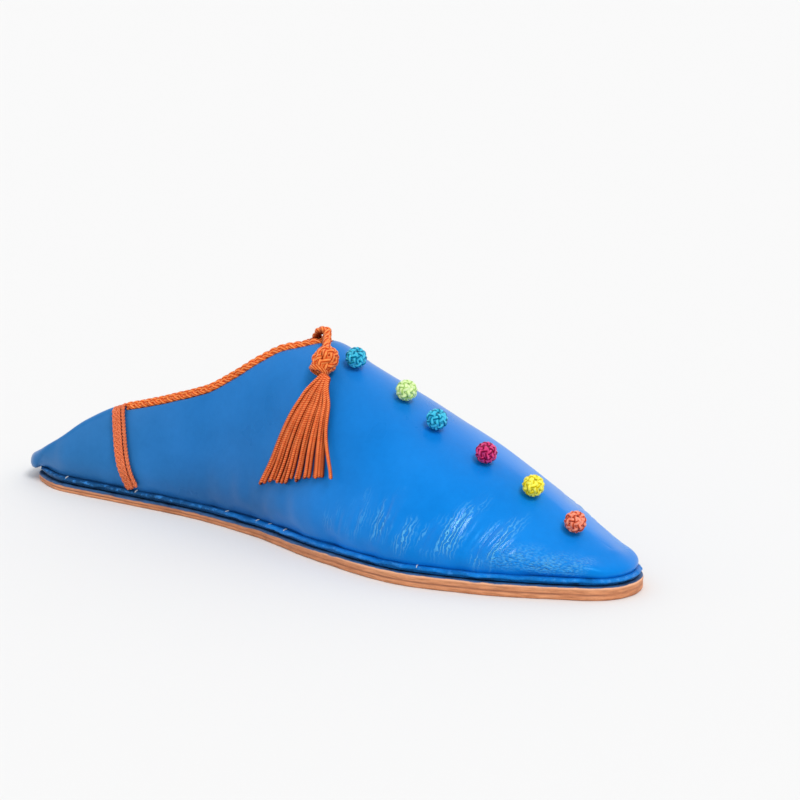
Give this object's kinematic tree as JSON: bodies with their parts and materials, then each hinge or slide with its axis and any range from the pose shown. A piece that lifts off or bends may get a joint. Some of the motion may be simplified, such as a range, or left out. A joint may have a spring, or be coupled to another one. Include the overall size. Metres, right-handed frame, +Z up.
{
  "type": "babouche slipper",
  "caption": "Pointed leather babouche slipper with its back trodden flat, a plaited silk cord round the collar, silk knot buttons on the ridge and a silk tassel at the throat.",
  "frame": {"origin": "on the floor, under the middle of the slipper's length and width", "axes": "+X towards the toe, +Y to the wearer's left, +Z up"},
  "size_m": [0.2749, 0.086, 0.0762],
  "materials": {
    "sole_leather": "natural tan, matt, cut edge",
    "rand_leather": "dyed blue, satin",
    "insole_leather": "natural, matt",
    "blue_leather": "dyed blue, smooth and glossy",
    "orange_silk": "silk cord, soft sheen",
    "teal_silk": "silk cord, soft sheen",
    "lime_silk": "silk cord, soft sheen",
    "magenta_silk": "silk cord, soft sheen",
    "yellow_silk": "silk cord, soft sheen",
    "red_orange_silk": "silk cord, soft sheen"
  },
  "bodies": {
    "root": {"outsole": "sole_leather", "rand": "rand_leather", "insole": "insole_leather", "upper": "blue_leather", "collar_braid": "orange_silk", "side_braid_left": "orange_silk", "side_braid_right": "orange_silk", "tassel_loop": "orange_silk", "tassel_head": "orange_silk", "tassel_skirt": "orange_silk", "button_1": "teal_silk", "button_2": "lime_silk", "button_3": "teal_silk", "button_4": "magenta_silk", "button_5": "yellow_silk", "button_6": "red_orange_silk"}
  },
  "joints": []
}
